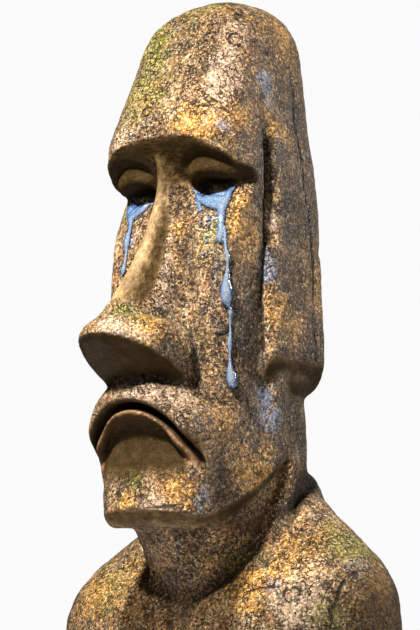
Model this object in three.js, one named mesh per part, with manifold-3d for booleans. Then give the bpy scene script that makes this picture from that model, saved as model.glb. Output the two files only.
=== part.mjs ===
// A carved stone bust in the manner of the Easter Island statues, weeping clear tears.
//
// Millimetres, +Z up. The face looks along -Y and the statue's own left is +X.
// The stone is one solid. Its surface is where stoneDepth() is zero: a field that is
// negative inside the stone and close to a distance outside it, put together from a few
// rounded forms. A ring of rays at each height finds that surface and gives the facets.
// Each cheek carries one run of tears, cut clear of the stone by a narrow gap.

import * as THREE from "three";
import { mergeVertices } from "three/addons/utils/BufferGeometryUtils.js";
import Module from "manifold-3d";

const wasm = await Module();
wasm.setup();

// ---- driving dimensions ----

const HEIGHT = 1922;
const CROWN_START = 1745;

const BROW_Z = 1460;
const BROW_Y = -176;
const EYE_X = 142;
const EYE_Z = 1332;
const LID_Z = 1350;

const NOSE_FOOT_Y = -235;
const NOSE_FOOT_Z = 768;

const MOUTH_Z = 518;
const MOUTH_RADIUS = 184;
const MUZZLE_Y = -100;

const JAW_BACK_Y = 140;
const JAW_TOP_Z = 770;

const NOTCH_Z = 92;
const SHOULDER_HALF_WIDTH = 562;

const TEAR_GAP = 0.8;

// ---- curves and blends ----

const clamp = (value, low, high) => Math.min(Math.max(value, low), high);
const lerp = (a, b, t) => a + (b - a) * t;

function ease(from, to, value) {
  const t = clamp((value - from) / (to - from), 0, 1);
  return t * t * (3 - 2 * t);
}

// A smooth curve through [position, value] pairs that never overshoots them.
function curve(...knots) {
  const last = knots.length - 1;
  const rise = knots.slice(1).map((knot, i) => (knot[1] - knots[i][1]) / (knot[0] - knots[i][0]));
  const slope = knots.map((_, i) => {
    if (i === 0) return rise[0];
    if (i === last) return rise[last - 1];
    const product = rise[i - 1] * rise[i];
    return product > 0 ? (2 * product) / (rise[i - 1] + rise[i]) : 0;
  });
  return (position) => {
    const at = clamp(position, knots[0][0], knots[last][0]);
    let i = 0;
    while (i < last - 1 && at > knots[i + 1][0]) i += 1;
    const span = knots[i + 1][0] - knots[i][0];
    const t = (at - knots[i][0]) / span;
    const u = 1 - t;
    return (1 + 2 * t) * u * u * knots[i][1] + t * u * u * span * slope[i]
      + t * t * (3 - 2 * t) * knots[i + 1][1] + t * t * (t - 1) * span * slope[i + 1];
  };
}

// Union and intersection with a fillet of the given size.
function join(a, b, fillet) {
  const h = Math.max(fillet - Math.abs(a - b), 0) / fillet;
  return Math.min(a, b) - h * h * fillet * 0.25;
}

const meet = (a, b, fillet) => -join(-a, -b, fillet);
const carve = (solid, tool, fillet) => meet(solid, -tool, fillet);

// ---- simple forms ----

function ellipsoid(x, y, z, [cx, cy, cz], [rx, ry, rz]) {
  const px = (x - cx) / rx;
  const py = (y - cy) / ry;
  const pz = (z - cz) / rz;
  const k = Math.hypot(px, py, pz);
  return (k * (k - 1)) / (Math.hypot(px / rx, py / ry, pz / rz) + 1e-9);
}

function limb(x, y, z, a, b, radiusA, radiusB) {
  const [dx, dy, dz] = [b[0] - a[0], b[1] - a[1], b[2] - a[2]];
  const along = (x - a[0]) * dx + (y - a[1]) * dy + (z - a[2]) * dz;
  const t = clamp(along / (dx * dx + dy * dy + dz * dz), 0, 1);
  return Math.hypot(x - a[0] - t * dx, y - a[1] - t * dy, z - a[2] - t * dz) - lerp(radiusA, radiusB, t);
}

function block(x, y, z, centre, half, round) {
  const qx = Math.abs(x - centre[0]) - half[0] + round;
  const qy = Math.abs(y - centre[1]) - half[1] + round;
  const qz = Math.abs(z - centre[2]) - half[2] + round;
  const outside = Math.hypot(Math.max(qx, 0), Math.max(qy, 0), Math.max(qz, 0));
  return outside + Math.min(Math.max(qx, qy, qz), 0) - round;
}

// How far out a point lies in a rounded rectangle from front to back, 1 being its edge.
function plan(side, y, halfWidth, front, back, squareness) {
  const middle = (front + back) / 2;
  const reach = (back - front) / 2;
  const across = (side / halfWidth) ** squareness;
  const along = (Math.abs(y - middle) / reach) ** squareness;
  return (across + along) ** (1 / squareness);
}

// ---- head ----

const headHalfWidth = curve([300, 198], [560, 215], [900, 233], [1200, 240], [1430, 248],
  [1600, 234], [1770, 209], [1900, 188]);
const headFront = curve([300, -100], [900, -160], [1200, -172], [1400, -186], [1480, -182],
  [1600, -140], [1750, -84], [1900, -30]);
const headBack = curve([300, 325], [900, 335], [1400, 340], [1700, 338], [1900, 324]);
const headSquareness = curve([300, 3.2], [900, 4.0], [1250, 4.4], [1420, 3.8], [1600, 3.3], [1900, 3.0]);

function headForm(side, y, z) {
  const halfWidth = headHalfWidth(z);
  const out = plan(side, y, halfWidth, headFront(z), headBack(z), headSquareness(z));
  const rise = Math.max(z - CROWN_START, 0) / (HEIGHT - CROWN_START);
  const depth = ((out ** 3.4 + rise ** 2.6) ** (1 / 3) - 1) * 190;
  const ear = 14 * ease(1600, 1180, z) * ease(40, 84, y) * ease(0.72, 0.92, side / halfWidth);
  const groove = limb(side, y, z, [254, 34, 1600], [260, 52, 1185], 8, 18);
  return carve(depth - ear, groove, 24);
}

// The face is set back below the brow, under a sloping soffit.
const faceMiddle = curve([300, -105], [700, -135], [1000, -144], [1200, -124], [1300, -88], [1410, -68]);
const faceTurn = curve([300, 20], [1000, 26], [1200, 38], [1300, 50], [1380, 80]);

const faceY = (side, z) => faceMiddle(z) + faceTurn(z) * (side / 240) ** 3;

function soffit(side, y, z) {
  const out = Math.min(side / 240, 1.1);
  const edge = BROW_Z - 26 * out ** 2.5;
  const slope = 1.12 - 0.62 * out ** 3.5;
  return (z - edge + slope * (y - BROW_Y)) / Math.hypot(1, slope);
}

function setBackFace(solid, side, y, z) {
  const air = meet(y - faceY(side, z), soffit(side, y, z), 20);
  return carve(solid, air, 10);
}

function addEye(solid, side, y, z) {
  const upperLid = ellipsoid(side, y, z, [EYE_X + 4, -46, LID_Z + 34], [100, 62, 36]);
  const lidEdge = LID_Z + 46 * (Math.max(205 - side, 0) / 155) ** 2.4;
  const opening = meet(ellipsoid(side, y, z, [EYE_X, -80, EYE_Z], [78, 52, 36]), z - lidEdge, 5);
  const eyeball = ellipsoid(side, y, z, [EYE_X, 14, EYE_Z], [100, 68, 60]);
  return join(carve(join(solid, upperLid, 24), opening, 7), eyeball, 6);
}

// ---- nose ----

const noseRidge = curve([820, -424], [880, -420], [940, -384], [993, -338], [1055, -288],
  [1120, -242], [1180, -210], [1280, -164], [1345, -150], [1475, -150]);
const noseHalfWidth = curve([820, 142], [1000, 118], [1205, 86], [1320, 56], [1390, 50], [1470, 60]);
const ridgeWidth = curve([820, 0.5], [1200, 0.42], [1340, 0.6], [1475, 0.8]);

function addNose(solid, side, y, z) {
  const half = noseHalfWidth(z);
  const t = Math.min(side / half, 1.6);
  const ridge = 1 / (1 + (t / ridgeWidth(z)) ** 3.4);
  const height = clamp(0.66 * ridge + 0.34 * ease(0, 1, 1 - t), 0, 1);
  const flank = lerp(faceY(side, z) + 30, noseRidge(z), height);
  const underside = (NOSE_FOOT_Z + 0.61 * (NOSE_FOOT_Y - y) + 10 * (side / 110) ** 2 - z) * 0.78;
  let nose = meet((flank - y) * 0.62, side - half * 1.05, 30);
  nose = meet(nose, underside, 18);
  nose = meet(nose, z - BROW_Z - 18, 20);
  nose = meet(nose, y - 40, 5);
  const wing = ellipsoid(side, y, z, [88, -212, 832], [62, 122, 108]);
  const tip = ellipsoid(side, y, z, [0, -292, 868], [118, 138, 92]);
  const bulb = meet(join(wing, tip, 50), underside, 18);
  const nostril = limb(side, y, z, [46, -250, 782], [110, -203, 762], 18, 12);
  return carve(join(join(solid, nose, 22), bulb, 18), nostril, 12);
}

// ---- mouth, chin and jaw ----

const muzzleHalfWidth = curve([350, 176], [450, 186], [560, 198], [680, 190], [740, 148], [800, 124]);
const muzzleFront = curve([350, -222], [420, -246], [500, -240], [600, -222], [670, -244],
  [735, -274], [790, -250], [850, -180]);
const jawUnderside = curve([-270, 414], [-230, 388], [-170, 370], [-120, 382], [-63, 416], [23, 480],
  [147, 584]);

function addMuzzle(solid, side, y, z) {
  const out = plan(side, y, muzzleHalfWidth(z), muzzleFront(z), 60, 3);
  return join(solid, meet((out - 1) * 165, z - 758, 26), 40);
}

// Two rolls either side of a round arch make the lips, with a crease along the arch.
function addLips(solid, side, y, z) {
  const fromArch = Math.hypot(side, z - MOUTH_Z) - MOUTH_RADIUS;
  const turn = Math.atan2(side, z - MOUTH_Z) / (Math.PI / 2);
  const forward = Math.abs(y - MUZZLE_Y) / 166;
  const behind = Math.max(y - MUZZLE_Y, 0);
  const out = (((side / 203) ** 2.8 + forward ** 2.8) ** (1 / 2.8) - 1) * 170 + behind;
  const full = 1 - 0.6 * ease(0.55, 1, turn);
  const sink = 30 * ease(0.6, 1.04, turn);
  const past = Math.max(turn - 0.96, 0) * 200 + Math.max(y + 168, 0) * 0.7;
  const upper = Math.hypot((fromArch - 27 * full) * 0.87, out + 6 + sink) - 27 * full + 0.5 * past;
  const lower = Math.hypot(fromArch + 19 * full, out + 12 + sink * 0.6) - 22 * full + 0.5 * past;
  const crease = Math.hypot(fromArch, out * 0.3) - 10 * (0.3 + 0.7 * full) + past;
  const underLip = ellipsoid(side, y, z, [40, -292, 592], [114, 60, 64]);
  return carve(carve(join(join(solid, upper, 40), lower, 14), crease, 8), underLip, 40);
}

function cutJaw(solid, y, z) {
  const below = (jawUnderside(y) - z) * 0.8;
  const behindJaw = meet(JAW_BACK_Y - y, z - JAW_TOP_Z, 30);
  return carve(meet(solid, below, 24), behindJaw, 36);
}

function addEarLobe(solid, side, y, z) {
  const lean = 0.055 * (z - 850);
  const lobe = block(side + lean, y, z, [224, 164, 970], [46, 140, 216], 42);
  const slantCut = (side - 225) * 0.84 - (z - 775) * 0.54;
  return join(solid, meet(lobe, slantCut, 26), 14);
}

// ---- neck and shoulders ----

const neckHalfWidth = curve([102, 40], [174, 86], [258, 136], [301, 156], [400, 200], [560, 224], [900, 222]);
const neckFront = curve([102, 6], [174, -34], [258, -75], [338, -130], [400, -154], [460, -140], [700, -60]);
const neckBack = curve([0, 330], [300, 352], [560, 374], [740, 350], [900, 328]);
const torsoHalfWidth = curve([0, SHOULDER_HALF_WIDTH], [50, SHOULDER_HALF_WIDTH + 4], [170, 552], [250, 508],
  [320, 430], [365, 372], [415, 302], [465, 255], [560, 222]);
const torsoFront = curve([0, -86], [90, -84], [180, -52], [250, 2], [320, 62], [365, 92], [415, 120],
  [480, 135]);
const torsoBack = curve([0, 400], [160, 393], [310, 378], [480, 360]);

function neckAndShoulders(x, side, y, z) {
  const neck = (plan(side, y, neckHalfWidth(z), neckFront(z), neckBack(z), 2.5) - 1) * 150;
  const torso = (plan(side, y, torsoHalfWidth(z), torsoFront(z), torsoBack(z), 2.6) - 1) * 170;
  const fromNotch = Math.sqrt(side * side + Math.max(y, 0) ** 2 + 400);
  const valley = (z - NOTCH_Z - 1.13 * fromNotch + 0.15 * Math.min(y, 0)) * 0.64;
  const chest = meet(meet(torso, z - 560, 40), valley, 40);
  const upperCord = limb(side, y, z, [206, 176, 560], [186, 122, 356], 34, 30);
  const lowerCord = limb(side, y, z, [186, 122, 356], [146, 74, 240], 30, 18);
  const rightFold = limb(x, y, z, [-186, 6, 374], [-84, -4, 150], 26, 16);
  const body = join(meet(neck, z - 1000, 40), chest, 48);
  return join(join(body, join(upperCord, lowerCord, 6), 24), rightFold, 30);
}

function stoneDepth(x, y, z) {
  const side = Math.abs(x);
  let solid = headForm(side, y, z);
  solid = setBackFace(solid, side, y, z);
  solid = addEye(solid, side, y, z);
  solid = addNose(solid, side, y, z);
  solid = addMuzzle(solid, side, y, z);
  solid = addLips(solid, side, y, z);
  solid = cutJaw(solid, y, z);
  solid = addEarLobe(solid, side, y, z);
  return join(solid, neckAndShoulders(x, side, y, z), 26);
}

// ---- from the field to facets ----

// The outermost point of the stone on a ray from a point inside it, moved out by a margin.
function outermost(origin, direction, reach, margin) {
  const depthAt = (r) => stoneDepth(
    origin.x + direction.x * r,
    origin.y + direction.y * r,
    origin.z + direction.z * r,
  ) - margin;
  let outer = reach;
  let r = reach;
  let depth = depthAt(r);
  while (depth > 0 && r > 0) {
    outer = r;
    r -= Math.max(depth * 0.6, 1.5);
    depth = depthAt(r);
  }
  let inner = r;
  for (let i = 0; i < 14; i += 1) {
    const middle = (inner + outer) / 2;
    if (depthAt(middle) > 0) outer = middle;
    else inner = middle;
  }
  return origin.clone().addScaledVector(direction, inner);
}

// Equal steps within each band of [from, to, steps].
function bands(list) {
  return list.flatMap(([from, to, steps]) => (
    Array.from({ length: steps }, (_, i) => lerp(from, to, i / steps))
  ));
}

const AXIS_Y = 115;
const CROWN_Z = 1690;
const RING_HEIGHTS = bands([
  [0, 300, 6], [300, 420, 7], [420, 540, 6], [540, 740, 14], [740, 780, 3], [780, 900, 7],
  [900, 1280, 8], [1280, 1400, 10], [1400, 1485, 5], [1485, CROWN_Z, 4],
]);
const CROWN_TILTS = [0, 15, 30, 45, 60, 75];

// Bearings from the front round to the back: closest over the face and at the ears' edges.
const HEAD_BEARINGS = [...bands([
  [0, 56, 14], [56, 68, 2], [68, 80, 3], [80, 118, 2], [118, 134, 2], [134, 180, 3],
]), 180];
const HALF_COUNT = HEAD_BEARINGS.length - 1;
const RING_COUNT = 2 * HALF_COUNT;

const radians = THREE.MathUtils.degToRad;
const hump = (from, peak, to, value) => ease(from, peak, value) * ease(to, peak, value);

// The rings dip with the arch of the mouth, so that the lips run along them.
function ringHeight(height, bearing) {
  const side = Math.min(5.9 * bearing, 0.86 * MOUTH_RADIUS);
  const arch = MOUTH_RADIUS - Math.sqrt(MOUTH_RADIUS ** 2 - side ** 2);
  return height - arch * ease(380, 560, height) * ease(920, 730, height);
}

// The rays lift over the shoulders and dip below the chin, to meet the stone squarely.
function rayTilt(height, bearing) {
  const shoulder = 34 * ease(66, 104, bearing) * hump(0, 300, 720, height);
  const chin = 34 * ease(46, 26, bearing) * hump(310, 370, 450, height);
  return shoulder - chin;
}

const PIVOT_RADIUS = 300;

// One ray to every point of a ring: rayAt gives the ray of a step, on the side of the sign.
function ringOf(rayAt) {
  return Array.from({ length: RING_COUNT }, (_, i) => (
    i <= HALF_COUNT ? rayAt(i, 1) : rayAt(RING_COUNT - i, -1)
  ));
}

function ringOfRays(height) {
  return ringOf((step, sign) => {
    const even = (180 * step) / HALF_COUNT;
    const bearing = lerp(even, HEAD_BEARINGS[step], ease(160, 520, height));
    const tilt = rayTilt(height, bearing);
    const z = ringHeight(height, bearing) - PIVOT_RADIUS * Math.tan(radians(tilt));
    return rayFromAxis(z, sign * bearing, tilt);
  });
}

function crownRays(tilt) {
  return ringOf((step, sign) => rayFromAxis(CROWN_Z, sign * HEAD_BEARINGS[step], tilt));
}

function rayFromAxis(z, bearing, tilt) {
  const level = Math.cos(radians(tilt));
  const turn = radians(bearing);
  return {
    origin: new THREE.Vector3(0, AXIS_Y, z),
    direction: new THREE.Vector3(level * Math.sin(turn), -level * Math.cos(turn), Math.sin(radians(tilt))),
  };
}

function closedSolid(positions, triangles) {
  const mesh = new wasm.Mesh({
    numProp: 3,
    vertProperties: Float32Array.from(positions.flatMap((p) => [p.x, p.y, p.z])),
    triVerts: Uint32Array.from(triangles),
  });
  return new wasm.Manifold(mesh);
}

// Rings of equal length joined into a skin, closed by a point at each end. Each panel between
// them is split along its shorter diagonal.
function skinOfRings(rings, firstPoint, lastPoint) {
  const count = rings[0].length;
  const positions = [firstPoint, ...rings.flat(), lastPoint];
  const end = positions.length - 1;
  const triangles = [];
  for (let i = 0; i < count; i += 1) {
    const next = (i + 1) % count;
    triangles.push(0, 1 + next, 1 + i);
    for (let row = 0; row < rings.length - 1; row += 1) {
      const low = 1 + row * count;
      const high = low + count;
      const rising = positions[low + i].distanceTo(positions[high + next]);
      const falling = positions[low + next].distanceTo(positions[high + i]);
      if (rising < falling) triangles.push(low + i, low + next, high + next, low + i, high + next, high + i);
      else triangles.push(low + i, low + next, high + i, low + next, high + next, high + i);
    }
    const top = 1 + (rings.length - 1) * count;
    triangles.push(end, top + i, top + next);
  }
  return closedSolid(positions, triangles);
}

function stoneSolid(margin) {
  const rays = [
    ...RING_HEIGHTS.map(ringOfRays),
    ...CROWN_TILTS.map(crownRays),
  ];
  const rings = rays.map((ring) => ring.map((ray) => outermost(ray.origin, ray.direction, 760, margin)));
  const foot = new THREE.Vector3(0, AXIS_Y, 0);
  const crown = outermost(new THREE.Vector3(0, AXIS_Y, CROWN_Z), new THREE.Vector3(0, 0, 1), 400, margin);
  return skinOfRings(rings, foot, crown);
}

// ---- tears ----

// The stone's face straight behind a point of the front view, and the way it faces there.
function onFace(x, z) {
  const behind = new THREE.Vector3(x, AXIS_Y, z);
  const point = outermost(behind, new THREE.Vector3(0, -1, 0), 700, 0);
  const step = 3;
  const facing = new THREE.Vector3(
    stoneDepth(point.x + step, point.y, z) - stoneDepth(point.x - step, point.y, z),
    stoneDepth(point.x, point.y + step, z) - stoneDepth(point.x, point.y - step, z),
    stoneDepth(point.x, point.y, z + step) - stoneDepth(point.x, point.y, z - step),
  );
  return { point, facing: facing.normalize() };
}

// A rounded trickle over the face through points of [x, z, radius].
function trickle(points, stations, sides) {
  const route = new THREE.CatmullRomCurve3(points.map(([x, z, radius]) => new THREE.Vector3(x, radius, z)));
  const beads = Array.from({ length: stations + 1 }, (_, i) => {
    const at = route.getPoint(i / stations);
    const { point, facing } = onFace(at.x, at.z);
    return { centre: point.addScaledVector(facing, 0.2 * at.y), facing, radius: at.y };
  });
  const directionAt = (i) => {
    const before = beads[Math.max(i - 1, 0)].centre;
    const after = beads[Math.min(i + 1, stations)].centre;
    return after.clone().sub(before).normalize();
  };
  const rings = beads.map(({ centre, facing, radius }, i) => {
    const across = facing.clone().cross(directionAt(i)).normalize();
    const outward = directionAt(i).cross(across).normalize();
    return Array.from({ length: sides }, (_, k) => {
      const angle = (2 * Math.PI * k) / sides;
      return centre.clone()
        .addScaledVector(across, radius * Math.cos(angle))
        .addScaledVector(outward, radius * Math.sin(angle));
    });
  });
  const first = beads[0].centre.clone().addScaledVector(directionAt(0), -0.6 * beads[0].radius);
  const last = beads[stations].centre.clone()
    .addScaledVector(directionAt(stations), 0.6 * beads[stations].radius);
  return skinOfRings(rings, first, last);
}

function tearRun(side, pool, strands, stream, streamStations) {
  const mirrored = (points) => points.map(([x, z, radius]) => [side * x, z, radius]);
  let tears = trickle(mirrored(pool), 6, 5);
  for (const strand of strands) tears = tears.add(trickle(mirrored(strand), 3, 5));
  return tears.add(trickle(mirrored(stream), streamStations, 6));
}

const LEFT_POOL = [[70, 1325, 6], [100, 1303, 9], [138, 1294, 11], [168, 1308, 10], [192, 1328, 7]];
const LEFT_STRANDS = [
  [[104, 1300, 7], [140, 1276, 9], [178, 1250, 8]],
  [[140, 1294, 11], [164, 1274, 13], [182, 1250, 10]],
  [[184, 1322, 8], [186, 1288, 12], [184, 1250, 9]],
];
const LEFT_STREAM = [
  [182, 1252, 9], [191, 1224, 7], [195, 1196, 8], [197, 1174, 11], [204, 1155, 5], [215, 1136, 3.4],
  [218, 1108, 5.5], [218, 1080, 4], [216, 1050, 9], [214, 1016, 17], [213, 988, 11], [217, 974, 5],
  [218, 961, 6.5], [217, 946, 3], [216, 915, 3], [213, 874, 7], [212, 850, 3], [211, 826, 4],
  [210, 796, 10], [210, 770, 15.5], [210, 757, 10],
];
const RIGHT_POOL = [[84, 1316, 5], [116, 1298, 8], [150, 1296, 10], [180, 1312, 9], [198, 1328, 6]];
const RIGHT_STRANDS = [
  [[122, 1297, 8], [142, 1282, 10], [158, 1268, 8]],
  [[174, 1308, 8], [168, 1288, 11], [158, 1268, 8]],
];
const RIGHT_STREAM = [
  [158, 1272, 8], [150, 1248, 4.5], [147, 1220, 4.5], [147, 1194, 9], [146, 1176, 4], [145, 1150, 3],
  [149, 1116, 8], [152, 1104, 5],
];

// ---- sub-parts ----

function toGeometry(solid) {
  const { vertProperties, triVerts } = solid.getMesh();
  const geometry = new THREE.BufferGeometry();
  geometry.setAttribute("position", new THREE.BufferAttribute(vertProperties, 3));
  geometry.setIndex(new THREE.BufferAttribute(triVerts, 1));
  const welded = mergeVertices(geometry, 1e-4);
  welded.computeVertexNormals();
  return welded;
}

function subPart(name, solid, material) {
  const mesh = new THREE.Mesh(toGeometry(solid), material);
  mesh.name = name;
  return mesh;
}

const tuff = new THREE.MeshStandardMaterial({ color: 0x6e5a45, roughness: 0.85, metalness: 0 });
const tear = () => new THREE.MeshStandardMaterial({
  color: 0xa9c4ea,
  roughness: 0.06,
  metalness: 0,
  transparent: true,
  opacity: 0.55,
});

const clearance = stoneSolid(TEAR_GAP);
const leftTears = tearRun(1, LEFT_POOL, LEFT_STRANDS, LEFT_STREAM, 32).subtract(clearance);
const rightTears = tearRun(-1, RIGHT_POOL, RIGHT_STRANDS, RIGHT_STREAM, 11).subtract(clearance);

const statue = new THREE.Group();
statue.add(
  subPart("stone_bust", stoneSolid(0), tuff),
  subPart("tears_left", leftTears, tear()),
  subPart("tears_right", rightTears, tear()),
);

// The origin is the middle of the footprint, on the flat underside.
const box = new THREE.Box3().setFromObject(statue);
statue.position.y = -(box.min.y + box.max.y) / 2;

export default statue;
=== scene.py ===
import math

import bmesh
import bpy
import numpy as np
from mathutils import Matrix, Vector


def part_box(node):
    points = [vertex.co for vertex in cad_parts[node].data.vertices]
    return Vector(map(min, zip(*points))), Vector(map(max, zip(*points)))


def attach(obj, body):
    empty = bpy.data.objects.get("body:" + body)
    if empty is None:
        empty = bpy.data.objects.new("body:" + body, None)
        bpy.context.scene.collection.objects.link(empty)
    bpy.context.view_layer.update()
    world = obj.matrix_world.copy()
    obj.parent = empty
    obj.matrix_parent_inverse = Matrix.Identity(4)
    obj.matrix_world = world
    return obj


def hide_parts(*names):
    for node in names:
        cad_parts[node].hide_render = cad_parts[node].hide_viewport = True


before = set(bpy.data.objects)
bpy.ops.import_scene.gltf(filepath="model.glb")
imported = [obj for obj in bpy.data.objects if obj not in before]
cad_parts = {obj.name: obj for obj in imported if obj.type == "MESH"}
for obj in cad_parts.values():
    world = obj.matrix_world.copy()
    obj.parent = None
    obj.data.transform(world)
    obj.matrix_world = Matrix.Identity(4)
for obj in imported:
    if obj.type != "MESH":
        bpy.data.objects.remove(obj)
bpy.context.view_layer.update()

# ---------------------------------------------------------------- camera and lights, in metres

STONE_LOW, STONE_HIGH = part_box("stone_bust")
HEIGHT = STONE_HIGH.z - STONE_LOW.z
MIDDLE_Y = (STONE_LOW.y + STONE_HIGH.y) / 2
VIEW_AZIMUTH = math.radians(40)
VIEW_ELEVATION = math.radians(-8)
VIEW_DISTANCE = 6.0
VIEW_TARGET = Vector((0, MIDDLE_Y + 0.0915, 0.5162 * HEIGHT))
LENS = 118
SOFT_LIGHT = 0.03
BACKDROP_LIGHT = 0.96
# Each light: its name, place, aim, size, power, colour and spread in degrees.
LIGHTS = (
    ("key", (0.35, -3.7, 4.5), (0.05, 0.05, 0.9), (0.45, 0.45), 100, (1.0, 0.92, 0.80), 46),
    ("fill", (4.4, -2.6, 2.6), (0, 0, 1.0), (1.4, 1.4), 3.5, (0.90, 0.95, 1.0), 60),
    ("rim", (1.6, 4.3, 2.8), (0.1, 0.1, 1.1), (0.5, 1.6), 34, (1.0, 0.94, 0.86), 60),
)


def place_camera():
    back = Vector((
        math.sin(VIEW_AZIMUTH) * math.cos(VIEW_ELEVATION),
        -math.cos(VIEW_AZIMUTH) * math.cos(VIEW_ELEVATION),
        math.sin(VIEW_ELEVATION),
    ))
    camera = bpy.data.objects.new("camera", bpy.data.cameras.new("camera"))
    camera.data.lens = LENS
    camera.data.clip_end = 10 * VIEW_DISTANCE
    camera.location = VIEW_TARGET + back * VIEW_DISTANCE
    camera.rotation_mode = "QUATERNION"
    camera.rotation_quaternion = (-back).to_track_quat("-Z", "Y")
    bpy.context.scene.collection.objects.link(camera)
    bpy.context.scene.camera = camera


def area_light(name, place, aim, size, power, colour, spread):
    light = bpy.data.lights.new(name, "AREA")
    light.spread = math.radians(spread)
    light.shape = "RECTANGLE"
    light.size, light.size_y = size
    light.energy = power
    light.color = colour
    lamp = bpy.data.objects.new(name, light)
    lamp.location = place
    lamp.rotation_mode = "QUATERNION"
    lamp.rotation_quaternion = (Vector(aim) - Vector(place)).to_track_quat("-Z", "Y")
    bpy.context.scene.collection.objects.link(lamp)


def pale_studio():
    """A white surround that lights softly and shows as the backdrop."""
    world = bpy.data.worlds.new("studio")
    world.use_nodes = True
    tree = world.node_tree
    soft = tree.nodes["Background"]
    soft.inputs["Color"].default_value = (0.93, 0.96, 1.0, 1)
    soft.inputs["Strength"].default_value = SOFT_LIGHT
    backdrop = tree.nodes.new("ShaderNodeBackground")
    backdrop.inputs["Color"].default_value = (1, 1, 1, 1)
    backdrop.inputs["Strength"].default_value = BACKDROP_LIGHT
    seen = tree.nodes.new("ShaderNodeLightPath").outputs["Is Camera Ray"]
    choose = tree.nodes.new("ShaderNodeMixShader")
    for source, socket in zip((seen, soft.outputs[0], backdrop.outputs[0]), choose.inputs):
        tree.links.new(source, socket)
    tree.links.new(choose.outputs[0], tree.nodes["World Output"].inputs[0])
    bpy.context.scene.world = world
    bpy.context.scene.view_settings.view_transform = "Standard"


place_camera()
pale_studio()
for light in LIGHTS:
    area_light(*light)

# ---------------------------------------------------------------- form of the bust, in millimetres

# The front of the face looks along -Y and the ground is at z = 0. Most of the form is the same on both
# sides, so it is written in s, the distance from the middle plane.
BROW_Z, BROW_Y = 1460.0, -176.0
FACE_HALF_WIDTH = 240.0
EYE_X, EYE_Z, LID_Z = 142.0, 1332.0, 1350.0
NOSE_FOOT_Y, NOSE_FOOT_Z = -235.0, 768.0
MOUTH_Z, MOUTH_RADIUS = 518.0, 184.0
UPPER_LIP, LOWER_LIP = 27.0, 22.0
MUZZLE_Y = -100.0
CROWN_START, CROWN_TOP = 1745.0, 1922.0
EAR_RELIEF = 14.0
THROAT_Z, THROAT_SLOPE = 92.0, 1.13


def smin(a, b, k):
    """The smaller of two forms, with their join rounded over k."""
    h = np.maximum(k - np.abs(a - b), 0) / k
    return np.minimum(a, b) - h * h * k * 0.25


def smax(a, b, k):
    """The larger of two forms, with their join rounded over k."""
    return -smin(-a, -b, k)


def ease(low, high, value):
    """From 0 at low to 1 at high, smoothly; low may be the larger of the two."""
    t = np.clip((value - low) / (high - low), 0, 1)
    return t * t * (3 - 2 * t)


def bell(value, middle, reach):
    """1 at the middle, falling away to nothing some two reaches from it."""
    return np.exp(-((value - middle) / reach) ** 2)


def lerp(a, b, t):
    return a + (b - a) * t


def curve(value, *points):
    """A smooth curve through (at, value) points that never overshoots them."""
    at = np.array([p[0] for p in points], float)
    out = np.array([p[1] for p in points], float)
    rise = np.diff(out) / np.diff(at)
    slope = np.zeros(len(at))
    both = rise[:-1] * rise[1:]
    slope[1:-1] = np.where(both > 0, 2 * both / (rise[:-1] + rise[1:] + 1e-30), 0)
    slope[0], slope[-1] = rise[0], rise[-1]
    value = np.clip(value, at[0], at[-1])
    i = np.clip(np.searchsorted(at, value) - 1, 0, len(at) - 2)
    span = at[i + 1] - at[i]
    t = (value - at[i]) / span
    return (
        (1 + 2 * t) * (1 - t) ** 2 * out[i]
        + t * (1 - t) ** 2 * span * slope[i]
        + t * t * (3 - 2 * t) * out[i + 1]
        + t * t * (t - 1) * span * slope[i + 1]
    )


def ellipsoid(x, y, z, centre, radii):
    px, py, pz = ((v - c) / r for v, c, r in zip((x, y, z), centre, radii))
    near = np.sqrt(px * px + py * py + pz * pz)
    steep = np.sqrt((px / radii[0]) ** 2 + (py / radii[1]) ** 2 + (pz / radii[2]) ** 2)
    return near * (near - 1) / (steep + 1e-9)


def limb(x, y, z, start, end, start_radius, end_radius):
    """A round bar from start to end."""
    dx, dy, dz = (b - a for a, b in zip(start, end))
    along = (x - start[0]) * dx + (y - start[1]) * dy + (z - start[2]) * dz
    t = np.clip(along / (dx * dx + dy * dy + dz * dz), 0, 1)
    ox, oy, oz = x - start[0] - t * dx, y - start[1] - t * dy, z - start[2] - t * dz
    return np.sqrt(ox * ox + oy * oy + oz * oz) - lerp(start_radius, end_radius, t)


def block(x, y, z, centre, half, radius):
    """A block with rounded edges, given by its half sizes."""
    qx, qy, qz = (np.abs(v - c) - h + radius for v, c, h in zip((x, y, z), centre, half))
    out = np.sqrt(np.maximum(qx, 0) ** 2 + np.maximum(qy, 0) ** 2 + np.maximum(qz, 0) ** 2)
    return out + np.minimum(np.maximum(qx, np.maximum(qy, qz)), 0) - radius


def plan(x, y, half_width, front, back, power):
    """1 on a rounded rectangle seen from above, less inside it."""
    middle, half_depth = (front + back) / 2, (back - front) / 2
    return (np.abs(x / half_width) ** power + np.abs((y - middle) / half_depth) ** power) ** (1 / power)


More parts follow.
